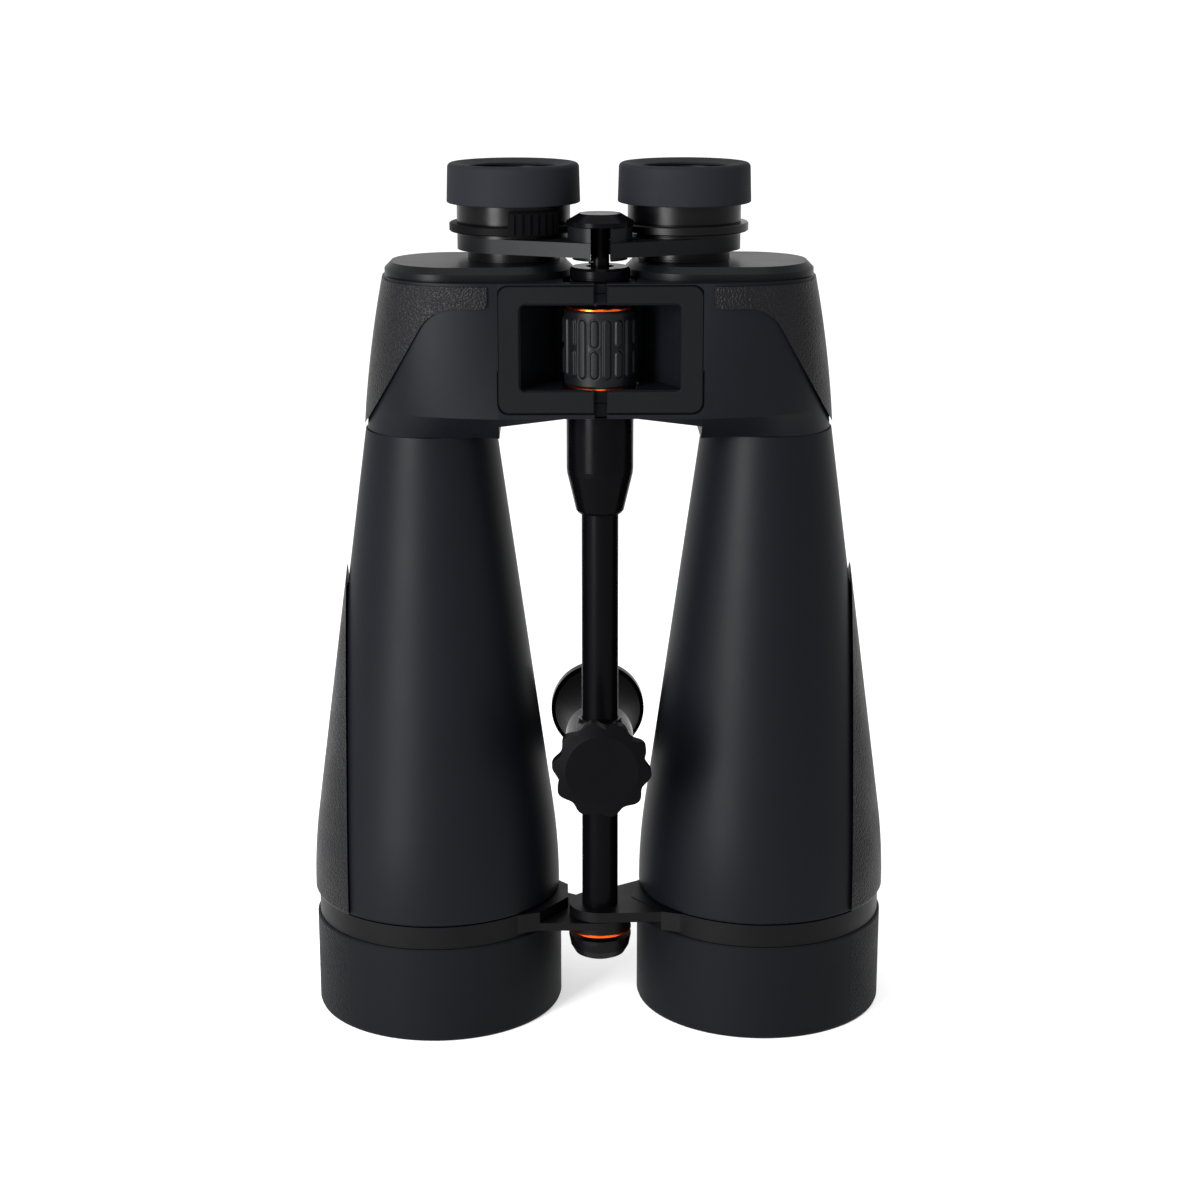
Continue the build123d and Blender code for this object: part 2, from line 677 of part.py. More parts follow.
def diopter_ring(side):
    """The turning diopter ring with its ribbed finger tab."""
    x = side * EYE_X
    outside = DIOPTER_R + 0.5
    with BuildPart() as body:
        add(plain_ring(side).part)
        with BuildSketch(Plane.XY.offset(DIOPTER_Z[0])):
            with Locations((x, EYE_Y)):
                Circle(outside)
                Circle(DIOPTER_R - 2.0, mode=Mode.SUBTRACT)
            with BuildLine():
                ends = []
                for angle in TAB_ANGLES:
                    turn = math.radians(angle)
                    ends.append((x + 60 * math.sin(turn), EYE_Y - 60 * math.cos(turn)))
                Polyline((x, EYE_Y), *ends, close=True)
            make_face(mode=Mode.INTERSECT)
        extrude(amount=TAB_HEIGHT)
        with BuildSketch(Plane.XY.offset(DIOPTER_Z[0] + 0.5)):
            for rib in range(TAB_RIBS):
                share = (rib + 0.5) / TAB_RIBS
                angle = TAB_ANGLES[0] + share * (TAB_ANGLES[1] - TAB_ANGLES[0])
                turn = math.radians(angle)
                with Locations((x + outside * math.sin(turn), EYE_Y - outside * math.cos(turn))):
                    Rectangle(1.7, 1.7, rotation=angle)
        extrude(amount=TAB_HEIGHT - 1.0)
    return body


def guide_ring(side):
    """The turning ring with the cam that lifts the eyecup."""
    return turned(
        [
            (SLEEVE_R + RUN, DIOPTER_Z[1] + 0.5),
            (GUIDE_R, DIOPTER_Z[1] + 0.5),
            (GUIDE_R, BARREL_TOP + 0.6),
            (SLEEVE_R + RUN, BARREL_TOP + 0.6),
        ],
        side * EYE_X,
        EYE_Y,
    )


def cup_sleeve(side):
    """The rigid sleeve inside the rubber eyecup."""
    return turned(
        [
            (GUIDE_R + RUN, CUP_Z[0] + 0.5),
            (CUP_WALL_R, CUP_Z[0] + 0.5),
            (CUP_WALL_R, CUP_Z[1] - 2.5),
            (CUP_MOUTH_R + 0.5, CUP_Z[1] - 2.5),
            (CUP_MOUTH_R + 0.5, CUP_Z[1] - 4.5),
            (GUIDE_R + RUN, CUP_Z[1] - 6.0),
        ],
        side * EYE_X,
        EYE_Y,
    )


def eyecup(side):
    """The soft rubber cup, rounded over at its rim."""
    return turned(
        [
            (CUP_WALL_R + JOINT, CUP_Z[0]),
            (CUP_R - 0.4, CUP_Z[0]),
            (CUP_R, CUP_Z[0] + 0.4),
            (CUP_R, CUP_Z[1] - 2.2),
            (CUP_R - 0.6, CUP_Z[1] - 0.8),
            (CUP_R - 1.8, CUP_Z[1]),
            (CUP_R - 2.6, CUP_Z[1]),
            (CUP_MOUTH_R, CUP_Z[1] - 1.5),
            (CUP_MOUTH_R, CUP_Z[1] - 2.3),
            (CUP_WALL_R + JOINT, CUP_Z[1] - 2.3),
        ],
        side * EYE_X,
        EYE_Y,
    )


# ---- focusing bridge ----


def tangent_point(x, y, centre_x, centre_y, radius):
    """Where a straight line from x, y touches a circle, on the circle's outer front side."""
    dx, dy = centre_x - x, centre_y - y
    reach = math.hypot(dx, dy)
    side = math.copysign(1, dx)
    heading = math.atan2(dy, abs(dx)) - math.asin(radius / reach)
    length = math.sqrt(reach**2 - radius**2)
    return x + side * length * math.cos(heading), y + length * math.sin(heading)


def bridge_arm(side):
    """One arm of the bridge: a ring round the eyepiece and half of the hub.

    The two arms share the hub stem. Each keeps a full eye at its own height, and both
    stop short of the slot at the front where the stem shows.
    """
    x = side * EYE_X
    level = (ARM_Z[0], 302.7) if side > 0 else (303.1, HUB_TOP)
    other = (303.0, HUB_TOP + 0.1) if side > 0 else (ARM_Z[0] - 0.1, 302.8)
    slot = side * STEM_SLOT
    front = HINGE_Y - 12.6
    touch = tangent_point(slot, front, x, EYE_Y, EYE_RING_R)
    with BuildPart() as body:
        with BuildSketch(Plane.XY.offset(ARM_Z[0])):
            with Locations((x, EYE_Y)):
                Circle(EYE_RING_R)
            with BuildLine():
                Polyline(
                    (slot, front),
                    touch,
                    (x, EYE_Y),
                    (side * 12, HINGE_Y + 8),
                    (slot, HINGE_Y),
                    close=True,
                )
            make_face()
        extrude(amount=ARM_Z[1] - ARM_Z[0])
        # half hub, cut back behind the stem so that the arms can close up
        for z0, z1, radius in ((ARM_Z[0], HUB_TOP, HUB_R), (HUB_FOOT[0], ARM_Z[0], HUB_FOOT[1])):
            with BuildSketch(Plane.XY.offset(z0)):
                with Locations((0, HINGE_Y)):
                    Circle(radius)
                with BuildLine():
                    Polyline(
                        (slot, HINGE_Y),
                        (slot, HINGE_Y - 20),
                        (side * 20, HINGE_Y - 20),
                        (side * 20, HINGE_Y + 12),
                        (side * 7, HINGE_Y + 12),
                        close=True,
                    )
                make_face(mode=Mode.INTERSECT)
            extrude(amount=z1 - z0)
        # clear the other arm's eye, then add this arm's own
        with BuildSketch(Plane.XY.offset(other[0])):
            with Locations((0, HINGE_Y)):
                Circle(EYE_R + 0.4)
        extrude(amount=other[1] - other[0], mode=Mode.SUBTRACT)
        with BuildSketch(Plane.XY.offset(level[0])):
            with Locations((0, HINGE_Y)):
                Circle(EYE_R)
            with Locations((0, HINGE_Y - 6)):
                Rectangle(2 * STEM_SLOT, 12, mode=Mode.SUBTRACT)
        extrude(amount=level[1] - level[0])
        with BuildSketch(Plane.XY.offset(HUB_FOOT[0] - 1)):
            with Locations((0, HINGE_Y)):
                Circle(STEM_R + RUN)
            with Locations((x, EYE_Y)):
                Circle(BARREL_TUBE_R + PRESS)
        extrude(amount=HUB_TOP - HUB_FOOT[0] + 2, mode=Mode.SUBTRACT)
    return body


def focus_spindle():
    """The thin spindle that the wheel drives up and down, with its cross pin."""
    with BuildPart() as body:
        with Locations((0, HINGE_Y, 276.0)):
            Cylinder(SPINDLE_R, 42.0)
        with Locations((0, HINGE_Y, 261.0)):
            Cylinder(PIN_R, 15.0, rotation=(90, 0, 0))
    return body


def hub_stem():
    """The post in the middle of the bridge, which dips into the axle's head as it focuses."""
    with BuildPart() as body:
        with Locations((0, HINGE_Y, (STEM_Z[0] + STEM_Z[1]) / 2)):
            Cylinder(STEM_R, STEM_Z[1] - STEM_Z[0])
        with BuildSketch(Plane.XY.offset(STEM_Z[0])):
            with Locations((0, HINGE_Y)):
                Circle(SPINDLE_R + PRESS)
        extrude(amount=297.1 - STEM_Z[0], mode=Mode.SUBTRACT)
        with BuildSketch(SCREW_PLANE):
            Circle(STEM_SCREW_R + PRESS)
        extrude(amount=-1.3, mode=Mode.SUBTRACT)
    return body


def stem_screw():
    """The small screw in the stem's front that holds the spindle."""
    with BuildPart() as body:
        with BuildSketch(SCREW_PLANE):
            Circle(STEM_SCREW_R)
        extrude(amount=1.0)
        with BuildSketch(SCREW_PLANE):
            Circle(STEM_SCREW_R)
        extrude(amount=-1.2)
    return body


# ---- centre ----


def hinge_axle():
    """The hollow hinge axle with its round head, slotted for the spindle's cross pin."""
    with BuildPart() as body:
        add(
            turned(
                [
                    (SPINDLE_R + RUN, AXLE_BOTTOM),
                    (AXLE_R, AXLE_BOTTOM),
                    (AXLE_R, HEAD_Z[0]),
                    (HEAD_R - 0.6, HEAD_Z[0]),
                    (HEAD_R, HEAD_Z[0] + 0.8),
                    (HEAD_R, HEAD_Z[1] - 0.9),
                    (HEAD_R - 0.8, HEAD_Z[1]),
                    (5.2, HEAD_Z[1]),
                    (5.2, HEAD_Z[1] - 1.7),
                    (STEM_R + RUN, HEAD_Z[1] - 1.7),
                    (STEM_R + RUN, SOCKET_Z),
                    (SPINDLE_R + RUN, SOCKET_Z),
                ],
                0,
                HINGE_Y,
            ).part
        )
        with Locations((0, HINGE_Y, 264.4)):
            Box(2.3, 14.0, 13.6, mode=Mode.SUBTRACT)
    return body


def wheel_core():
    """The focus wheel's hub, with a chamber where the cross pin runs in the drive thread."""
    return turned(
        [
            (AXLE_R + RUN, WHEEL_Z[0]),
            (WHEEL_CORE_R, WHEEL_Z[0]),
            (WHEEL_CORE_R, WHEEL_Z[1]),
            (AXLE_R + RUN, WHEEL_Z[1]),
            (AXLE_R + RUN, 274.0),
            (8.2, 273.0),
            (8.2, 256.5),
            (AXLE_R + RUN, 255.5),
        ],
        0,
        HINGE_Y,
    )


def wheel_tyre():
    """The rubber sleeve of the focus wheel with long ribs, every second one split."""
    inner = WHEEL_CORE_R + PRESS
    foot = WHEEL_Z[0] + TRIM_HEIGHT + JOINT
    top = WHEEL_Z[1] - TRIM_HEIGHT - JOINT
    with BuildPart() as body:
        add(ring(0, HINGE_Y, inner, WHEEL_R, foot, top).part)
        for rib in range(RIBS):
            turn = math.tau * rib / RIBS
            way = (math.cos(turn), math.sin(turn), 0)
            face = Plane(
                origin=(way[0] * (WHEEL_R - 0.4), HINGE_Y + way[1] * (WHEEL_R - 0.4), RIB_MIDDLE),
                x_dir=(0, 0, 1),
                z_dir=way,
            )
            with BuildSketch(face):
                if rib % 2:
                    with Locations((RIB_LENGTH / 4 + 0.3, 0), (-RIB_LENGTH / 4 - 0.3, 0)):
                        SlotOverall(RIB_LENGTH / 2 - 0.6, RIB_WIDTH)
                else:
                    SlotOverall(RIB_LENGTH, RIB_WIDTH)
            extrude(amount=RIB_RISE + 0.4)
    return body


def wheel_rings():
    """The two bright trim rings at the ends of the focus wheel."""
    inner = WHEEL_CORE_R + PRESS
    with BuildPart() as body:
        add(ring(0, HINGE_Y, inner, TRIM_R, WHEEL_Z[0], WHEEL_Z[0] + TRIM_HEIGHT).part)
        add(ring(0, HINGE_Y, inner, TRIM_R, WHEEL_Z[1] - TRIM_HEIGHT, WHEEL_Z[1]).part)
    return body


def end_nut():
    """The bowl-shaped nut on the lower end of the rod, with shallow grip flats."""
    with BuildPart() as body:
        add(
            turned(
                [
                    (0, NUT_Z[0]),
                    (7.4, NUT_Z[0]),
                    (9.6, NUT_Z[0] + 1.1),
                    (11.3, NUT_Z[0] + 4.0),
                    (NUT_R, NUT_Z[0] + 7.8),
                    (NUT_R, NUT_Z[1]),
                    (ROD_R + JOINT, NUT_Z[1]),
                    (ROD_R + JOINT, ROD_Z[0] - 0.1),
                    (0, ROD_Z[0] - 0.1),
                ],
                0,
                HINGE_Y,
            ).part
        )
        with BuildSketch(Plane.XY.offset(NUT_Z[0] - 1)):
            with Locations((0, HINGE_Y)):
                RegularPolygon(NUT_R / math.cos(math.pi / NUT_FACETS) * 0.985, NUT_FACETS)
        extrude(amount=NUT_Z[1] - NUT_Z[0] - 0.6, mode=Mode.INTERSECT)
    return body


# ---- tripod adapter ----


def across(distance, z):
    """The plane across the adapter, this far behind the rod, centred at height z."""
    return Plane(origin=(0, HINGE_Y + distance, z), x_dir=(1, 0, 0), z_dir=(0, 1, 0))


def adapter_block():
    """The block on the rod with its trumpet-shaped foot and the tripod thread."""
    with BuildPart() as body:
        with BuildSketch(Plane(origin=(0, HINGE_Y, FOOT_Z), x_dir=(0, 1, 0), z_dir=(1, 0, 0))):
            with BuildLine():
                Polyline((8.0, 0), (8.0, 10.4), (14.6, 10.4))
                ThreePointArc((14.6, 10.4), (42.0, 11.2), (54.0, FOOT_R - 1.6))
                Polyline((54.0, FOOT_R - 1.6), (55.0, FOOT_R), (FOOT_Y - 0.6, FOOT_R), (FOOT_Y, FOOT_R - 0.6))
                Polyline((FOOT_Y, FOOT_R - 0.6), (FOOT_Y, 0), (8.0, 0))
            make_face()
        revolve(axis=Axis((0, HINGE_Y, FOOT_Z), (0, 1, 0)))
        with BuildSketch(across(-21.5, BLOCK_Z)):
            Circle(BLOCK_R)
        extrude(amount=36.0)
        chamfer(body.edges().group_by(Axis.Y)[0], length=1.0)
        with Locations((0, HINGE_Y, BLOCK_Z)):
            Cylinder(8.5, 40, mode=Mode.SUBTRACT)
        with BuildSketch(across(FOOT_Y, FOOT_Z)):
            Circle(TRIPOD_HOLE_R)
        extrude(amount=-12, mode=Mode.SUBTRACT)
        with BuildSketch(across(-30, KNOB_Z)):
            Circle(SCREW_R + RUN)
        extrude(amount=30, mode=Mode.SUBTRACT)
    return body


def clamp_knob():
    """The lobed knob that locks the adapter on the rod."""
    with BuildPart() as body:
        with BuildSketch(across(KNOB_FRONT, KNOB_Z)):
            with BuildLine():
                rim = []
                for step in range(KNOB_LOBES * 6):
                    angle = math.tau * step / (KNOB_LOBES * 6)
                    reach = KNOB_R + KNOB_WAVE * math.cos(KNOB_LOBES * angle)
                    turn = angle + KNOB_TURN
                    rim.append((reach * math.cos(turn), reach * math.sin(turn)))
                Spline(*rim, periodic=True)
            make_face()
        extrude(amount=6.5)
        with BuildSketch(Plane(origin=(0, HINGE_Y, KNOB_Z), x_dir=(0, 1, 0), z_dir=(1, 0, 0))):
            with BuildLine():
                Polyline(
                    (KNOB_FRONT, 0),
                    (KNOB_FRONT, KNOB_FACE_R),
                    (KNOB_FRONT + 1.4, KNOB_R - 0.4),
                    (KNOB_FRONT + 2.6, KNOB_R + 2),
                    (KNOB_FRONT + 6.5, KNOB_R + 2),
                    (KNOB_FRONT + 6.5, 0),
                    close=True,
                )
            make_face()
        revolve(axis=Axis((0, HINGE_Y, KNOB_Z), (0, 1, 0)), mode=Mode.INTERSECT)
        with BuildSketch(across(KNOB_FRONT + 6.5, KNOB_Z)):
            Circle(13.0)
        extrude(amount=6.5, taper=20)
        with BuildSketch(across(KNOB_FRONT + 13.0, KNOB_Z)):
            Circle(8.0)
        extrude(amount=5.6)
    return body


def clamp_screw():
    """The screw of the knob, which presses on the bush."""
    with BuildPart() as body:
        with BuildSketch(across(-21.9, KNOB_Z)):
            Circle(SCREW_R)
        extrude(amount=12.9)
    return body


# ---- write every piece ----

for half in (1, -1):
    name = side_name(half)
    save(prism_housing(half), f"{name}_prism_housing")
    save(top_cover(half), f"{name}_top_cover")
    save(shoulder_armour(half), f"{name}_shoulder_armour")
    save(hinge_plate(half), f"{name}_hinge_plate")
    save(prism_shelf(half), f"{name}_prism_shelf")
    save(prism(half, UPPER_PRISM_X, PRISM_Y, 1, SHELF_Z[1], 1), f"{name}_upper_prism")
    save(prism(half, LOWER_PRISM_X, PRISM_Y, -1, SHELF_Z[0], -1), f"{name}_lower_prism")
    save(objective_tube(half), f"{name}_objective_tube")
    save(tube_pad(half), f"{name}_tube_pad")
    save(hood(half), f"{name}_hood")
    save(clamp_band(half), f"{name}_clamp_band")
    save(objective_cell(half), f"{name}_objective_cell")
    save(objective_doublet(half), f"{name}_objective_doublet")
    retainer = ring(half * BARREL_X, BARREL_Y, LENS_CLEAR_R + 0.1, LENS_R + JOINT, 38.5, 41.5)
    save(retainer, f"{name}_lens_retainer")
    save(bridge_arm(half), f"{name}_bridge_arm")
    save(eyepiece_barrel(half), f"{name}_eyepiece_barrel")
    save(ocular_cell(half), f"{name}_ocular_cell")
    save(ocular_lenses(half), f"{name}_ocular_lenses")
    save(guide_ring(half), f"{name}_cup_guide_ring")
    save(cup_sleeve(half), f"{name}_cup_sleeve")
    save(eyecup(half), f"{name}_eyecup")
save(plain_ring(1), "left_trim_ring")
save(diopter_ring(-1), "right_diopter_ring")

save(ring(0, HINGE_Y, 0.0, ROD_R, *ROD_Z), "centre_rod")
save(hinge_axle(), "hinge_axle")
collar = turned(
    [
        (ROD_R + PRESS, COLLAR_Z[0]),
        (COLLAR_R[0] - 0.7, COLLAR_Z[0]),
        (COLLAR_R[0], COLLAR_Z[0] + 0.9),
        (COLLAR_R[1] - 0.2, COLLAR_Z[1] - 1.0),
        (COLLAR_R[1], COLLAR_Z[1] + 1.0),
        (COLLAR_R[1], COLLAR_Z[2]),
        (ROD_R + PRESS, COLLAR_Z[2]),
    ],
    0,
    HINGE_Y,
)
save(collar, "rod_collar")
save(end_nut(), "end_nut")
save(ring(0, HINGE_Y, ROD_R + JOINT, TRIM_R, *TRIM_Z), "end_nut_ring")
save(wheel_core(), "focus_wheel_core")
save(wheel_tyre(), "focus_wheel_tyre")
save(wheel_rings(), "focus_wheel_rings")
save(focus_spindle(), "focus_spindle")
save(stem_screw(), "stem_screw")
save(hub_stem(), "hub_stem")
cap = turned(
    [
        (0, CAP_Z[0]),
        (CAP_R[0], CAP_Z[0]),
        (CAP_R[0], CAP_Z[1]),
        (CAP_R[1], CAP_Z[2]),
        (0, CAP_Z[2]),
    ],
    0,
    HINGE_Y,
)
save(cap, "hub_cap")
save(ring(0, HINGE_Y, ROD_R + RUN, BUSH_R, *BUSH_Z), "adapter_bush")
save(adapter_block(), "adapter_block")
save(clamp_knob(), "clamp_knob")
save(clamp_screw(), "clamp_screw")
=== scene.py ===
import json
import math

import bmesh
import bpy
from mathutils import Matrix, Vector


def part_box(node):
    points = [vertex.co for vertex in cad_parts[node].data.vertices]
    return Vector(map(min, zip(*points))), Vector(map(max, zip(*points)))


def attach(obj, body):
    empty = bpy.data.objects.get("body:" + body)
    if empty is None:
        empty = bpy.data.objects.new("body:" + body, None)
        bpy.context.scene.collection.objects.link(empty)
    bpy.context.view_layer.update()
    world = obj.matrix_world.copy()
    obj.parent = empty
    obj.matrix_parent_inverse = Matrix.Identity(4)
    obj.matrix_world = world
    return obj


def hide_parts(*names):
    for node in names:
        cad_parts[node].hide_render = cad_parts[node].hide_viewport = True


bl_info = {
    "name": "Astronomy Binoculars",
    "version": (1, 0, 0),
    "blender": (4, 5, 0),
    "location": "View3D > Sidebar > Binoculars",
    "description": "Finishes and detail pieces for a pair of large astronomy binoculars",
    "category": "Add Mesh",
}

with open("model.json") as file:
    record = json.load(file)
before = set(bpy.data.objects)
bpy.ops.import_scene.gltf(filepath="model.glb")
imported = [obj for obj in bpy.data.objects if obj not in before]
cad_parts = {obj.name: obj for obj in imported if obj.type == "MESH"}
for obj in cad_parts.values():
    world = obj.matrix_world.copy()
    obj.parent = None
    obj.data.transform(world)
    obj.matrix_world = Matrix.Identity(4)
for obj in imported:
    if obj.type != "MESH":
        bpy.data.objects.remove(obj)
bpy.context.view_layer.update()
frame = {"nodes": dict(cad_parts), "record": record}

MM = 0.001
MICRON = 0.000001
WHITE = (1, 1, 1, 1)


def linear(hex_colour):
    """An sRGB hex colour as linear red, green, blue and alpha."""
    values = []
    for start in (1, 3, 5):
        value = int(hex_colour[start:start + 2], 16) / 255
        values.append(value / 12.92 if value <= 0.04045 else ((value + 0.055) / 1.055) ** 2.4)
    return (*values, 1.0)


def node_middle(name):
    """The middle of a CAD node's box at rest."""
    low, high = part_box(name)
    return (low + high) / 2


# ---- sizes and colours a user would change ----


def length_property(name, description, default):
    return bpy.props.FloatProperty(
        name=name, description=description, default=default, min=0.0, unit="LENGTH", precision=5
    )


def colour_property(name, description, default):
    return bpy.props.FloatVectorProperty(
        name=name, description=description, default=linear(default), size=4, subtype="COLOR", min=0, max=1
    )


class BinocularSizes(bpy.types.PropertyGroup):
    """Real sizes of the surface patterns and of the moulded details."""

    pebble_pitch: length_property("Pebble pitch", "Width of one pebble of the rubber armour", 0.75 * MM)
    coat_grain: length_property("Coat grain", "Grain of the soft-touch coat", 0.35 * MM)
    turning_pitch: length_property("Turning pitch", "Distance between the lathe's tool marks", 0.4 * MM)
    cup_rim: length_property("Cup rim", "Radius of the eyecup's rounded shoulder", 1.6 * MM)
    rib_rise: length_property("Rib rise", "Height of the focus wheel's ribs", 0.6 * MM)
    rib_width: length_property("Rib width", "Width of the focus wheel's ribs", 3.1 * MM)
    rib_length: length_property("Rib length", "Length of the focus wheel's ribs", 21.6 * MM)
    rib_lift: length_property("Rib lift", "Height of the ribs' middle above the tyre's", 0.4 * MM)
    rib_count: bpy.props.IntProperty(
        name="Ribs", description="Ribs round the focus wheel", default=18, min=4
    )
    baffle_pitch: length_property("Baffle pitch", "Distance between the glare grooves", 2.2 * MM)
    thread_pitch: length_property("Thread pitch", "Pitch of the tripod thread", 1.27 * MM)


class BinocularColours(bpy.types.PropertyGroup):
    """Colours of the finishes."""

    coat: colour_property("Soft-touch coat", "Coat on the barrels and housings", "#08090d")
    cover: colour_property("Cover coat", "Satin coat on covers and bridge", "#08090b")
    rubber: colour_property("Armour rubber", "Pebbled rubber", "#0b0b0d")
    cup: colour_property("Cup rubber", "Eyecup rubber", "#121317")
    hood: colour_property("Hood rubber", "Coat of the lens hoods", "#08090c")
    anodised: colour_property("Black anodising", "Turned and drawn aluminium", "#030304")
    plastic: colour_property("Knob plastic", "Moulded knobs", "#040405")
    orange: colour_property("Orange anodising", "Trim rings", "#e8581a")
    # Colour of the painted reflection on the lenses and prisms, mixed into the glass's base colour at
    # edge-on views.
    painted_lens_reflex: colour_property("Lens coating", "Reflex of the lens coating", "#2f7a4e")
    floor: colour_property("Floor", "Studio floor", "#c8c8c8")


def sizes():
    return bpy.context.scene.binocular_sizes


def colours():
    return bpy.context.scene.binocular_colours


# ---- material building ----


def add_node(tree, kind, inputs=None, **settings):
    """Add one shader node, with its settings, socket values and links."""
    node = tree.nodes.new(kind)
    for key, value in settings.items():
        setattr(node, key, value)
    for socket, value in (inputs or {}).items():
        if isinstance(value, bpy.types.NodeSocket):
            tree.links.new(value, node.inputs[socket])
        else:
            node.inputs[socket].default_value = value
    return node


def scaled(colour, factor):
    """A lighter or darker version of a linear colour."""
    return (*[min(1.0, channel * factor) for channel in colour[:3]], 1.0)


def empty_material(name):
    """A new material with its tree cleared, and the object coordinates it is patterned by."""
    material = bpy.data.materials.new(name)
    material.use_nodes = True
    tree = material.node_tree
    tree.nodes.clear()
    place = add_node(tree, "ShaderNodeTexCoord").outputs["Object"]
    return material, tree, place


def fine_grain(tree, place, pitch, depth, stretch=(1, 1, 1)):
    """Bump of a fine random grain, stretched along the way a surface was worked."""
    worked = add_node(tree, "ShaderNodeMapping", {"Vector": place, "Scale": stretch})
    noise = add_node(
        tree,
        "ShaderNodeTexNoise",
        {"Vector": worked.outputs["Vector"], "Scale": 0.6 / pitch, "Detail": 3.0, "Roughness": 0.6},
    )
    bump = add_node(
        tree, "ShaderNodeBump", {"Height": noise.outputs["Fac"], "Strength": 1.0, "Distance": depth}
    )
    return bump.outputs["Normal"]


def pebble_height(tree, place, pitch):
    """Height of moulded pebble grain: small lumps that run into each other in short worms."""
    warp = add_node(
        tree, "ShaderNodeTexNoise", {"Vector": place, "Scale": 0.5 / pitch, "Detail": 2.0}
    )
    moved = add_node(
        tree,
        "ShaderNodeVectorMath",
        {0: warp.outputs["Color"], "Scale": pitch * 1.3},
        operation="SCALE",
    )
    spot = add_node(
        tree, "ShaderNodeVectorMath", {0: place, 1: moved.outputs["Vector"]}, operation="ADD"
    )
    cells = add_node(
        tree,
        "ShaderNodeTexVoronoi",
        {"Vector": spot.outputs["Vector"], "Scale": 1.0 / pitch, "Smoothness": 0.6},
        feature="SMOOTH_F1",
    )
    lump = add_node(
        tree,
        "ShaderNodeMapRange",
        {"Value": cells.outputs["Distance"], "From Min": 0.15, "From Max": 0.75,
         "To Min": 1.0, "To Max": 0.0},
        interpolation_type="SMOOTHSTEP",
    )
    return lump.outputs["Result"]


WAVE_BAND = 0.314  # distance between the bands of a Wave texture whose scale is 1
COARSER = 2  # tool marks are drawn this many times too far apart, or they would not show


def turned_marks(tree, place, pitch, depth):
    """Bump of the fine rings that a lathe tool leaves round a turned piece."""
    wave = add_node(
        tree,
        "ShaderNodeTexWave",
        {"Vector": place, "Scale": WAVE_BAND / pitch / COARSER, "Distortion": 0.4, "Detail": 1.0},
        wave_type="BANDS",
        bands_direction="Z",
    )
    bump = add_node(
        tree, "ShaderNodeBump", {"Height": wave.outputs["Fac"], "Strength": 1.0, "Distance": depth}
    )
    return bump.outputs["Normal"]


# A Mix node's colour sockets go by number here, because its other sockets have the same names.
DARK_SOCKET = 6
LIGHT_SOCKET = 7
COLOUR_RESULT = 2


def surface(
    tree, place, colour, roughness, specular, normal, patch=30 * MM, shade=1.25, worn=0.06, **fixed
):
    """A principled surface whose colour and gloss drift a little over patches of a given size."""
    drift = add_node(
        tree,
        "ShaderNodeTexNoise",
        {"Vector": place, "Scale": 1.0 / patch, "Detail": 4.0, "Roughness": 0.55},
    )
    tone = add_node(
        tree,
        "ShaderNodeMix",
        {
            "Factor": drift.outputs["Fac"],
            DARK_SOCKET: scaled(colour, 1 / shade),
            LIGHT_SOCKET: scaled(colour, shade),
        },
        data_type="RGBA",
    )
    gloss = add_node(
        tree,
        "ShaderNodeMapRange",
        {"Value": drift.outputs["Fac"], "From Min": 0.3, "From Max": 0.7,
         "To Min": roughness - worn, "To Max": roughness + worn},
    )
    shader = add_node(
        tree,
        "ShaderNodeBsdfPrincipled",
        {
            "Base Color": tone.outputs[COLOUR_RESULT],
            "Roughness": gloss.outputs["Result"],
            "Specular IOR Level": specular,
            "Normal": normal,
            **fixed,
        },
    )
    return shader


def output(tree, shader):
    add_node(tree, "ShaderNodeOutputMaterial", {"Surface": shader.outputs[0]})


MOULD_GRAIN = 0.3 * MM  # grain that a spark-eroded mould leaves on plastic and rubber


def soft_touch_coat():
    """Soft-touch polyurethane coat, sprayed: a velvety black with a wide, dull highlight."""
    material, tree, place = empty_material("soft_touch_polyurethane_coat_sprayed")
    grain = fine_grain(tree, place, sizes().coat_grain, 10 * MICRON)
    output(tree, surface(
        tree, place, colours().coat[:], 0.46, 0.07, grain, patch=50 * MM, worn=0.03, shade=1.1
    ))
    return material


def satin_coat():
    """Satin stove enamel on die-cast aluminium: darker and a little tighter than soft touch."""
    material, tree, place = empty_material("satin_enamel_on_diecast_aluminium")
    grain = fine_grain(tree, place, sizes().coat_grain, 12 * MICRON)
    output(tree, surface(
        tree, place, colours().cover[:], 0.36, 0.07, grain, patch=40 * MM, worn=0.03, shade=1.1
    ))
    return material


def plate_coat():
    """ABS plate, moulded with a fine spark-eroded face: even satin black."""
    material, tree, place = empty_material("moulded_ABS_fine_spark_finish")
    grain = fine_grain(tree, place, MOULD_GRAIN, 12 * MICRON)
    output(tree, surface(
        tree, place, colours().cover[:], 0.38, 0.07, grain, patch=30 * MM, worn=0.03, shade=1.1
    ))
    return material


def pebbled_rubber():
    """Moulded rubber with pebble grain: each lump catches a small dull light."""
    material, tree, place = empty_material("moulded_rubber_pebble_grain")
    height = pebble_height(tree, place, sizes().pebble_pitch)
    depth = 200 * MICRON
    bump = add_node(tree, "ShaderNodeBump", {"Height": height, "Strength": 1.0, "Distance": depth})
    output(tree, surface(
        tree, place, colours().rubber[:], 0.42, 0.09, bump.outputs["Normal"], patch=20 * MM
    ))
    return material


